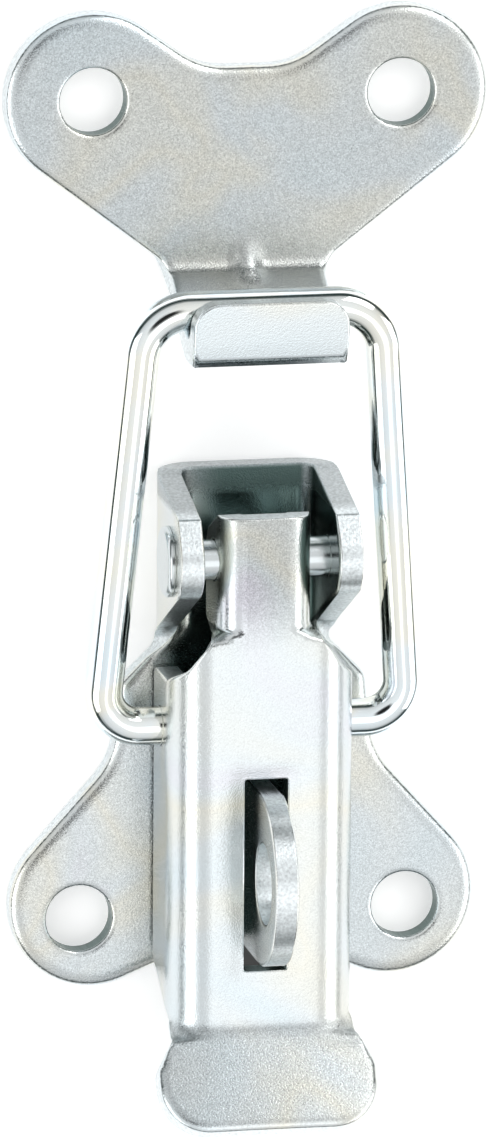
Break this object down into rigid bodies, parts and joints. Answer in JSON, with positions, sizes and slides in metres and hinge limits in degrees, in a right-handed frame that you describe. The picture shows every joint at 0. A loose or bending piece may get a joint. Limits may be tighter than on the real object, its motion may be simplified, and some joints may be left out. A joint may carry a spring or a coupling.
{
  "type": "over centre toggle latch",
  "caption": "Zinc plated over centre toggle latch: lever with finger lip and padlock eye, wire bail and hooked catch plate.",
  "frame": {"origin": "midway between the base plate's two screw holes, on the mounting plane", "axes": "+Z away from the mounting surface, +Y from the base to the catch plate, X across the latch"},
  "size_m": [0.0492, 0.1123, 0.025],
  "materials": {
    "zinc_sheet": "bright zinc plate, satin",
    "zinc_wire": "bright zinc plate, smooth drawn wire",
    "zinc_rivet": "bright zinc plate, turned"
  },
  "bodies": {
    "base": {"base_plate": "zinc_sheet", "lock_staple": "zinc_sheet", "pivot_rivet": "zinc_rivet", "catch_plate": "zinc_sheet"},
    "lever": {"lever": "zinc_sheet"},
    "bail": {"bail": "zinc_wire"}
  },
  "joints": [
    {"name": "lever_pivot", "type": "hinge", "parent": "base", "child": "lever", "pos_m": [0, 0.0385, 0.0102], "axis": [-1, 0, 0], "range_deg": [0, 90]},
    {"name": "bail_pivot", "type": "hinge", "parent": "lever", "child": "bail", "pos_m": [0, 0.0208, 0.0066], "axis": [-1, 0, 0], "range_deg": [-53.1, 0]}
  ],
  "couplings": [
    {"joint": "bail_pivot", "follows": "lever_pivot", "ratio": -0.59}
  ]
}
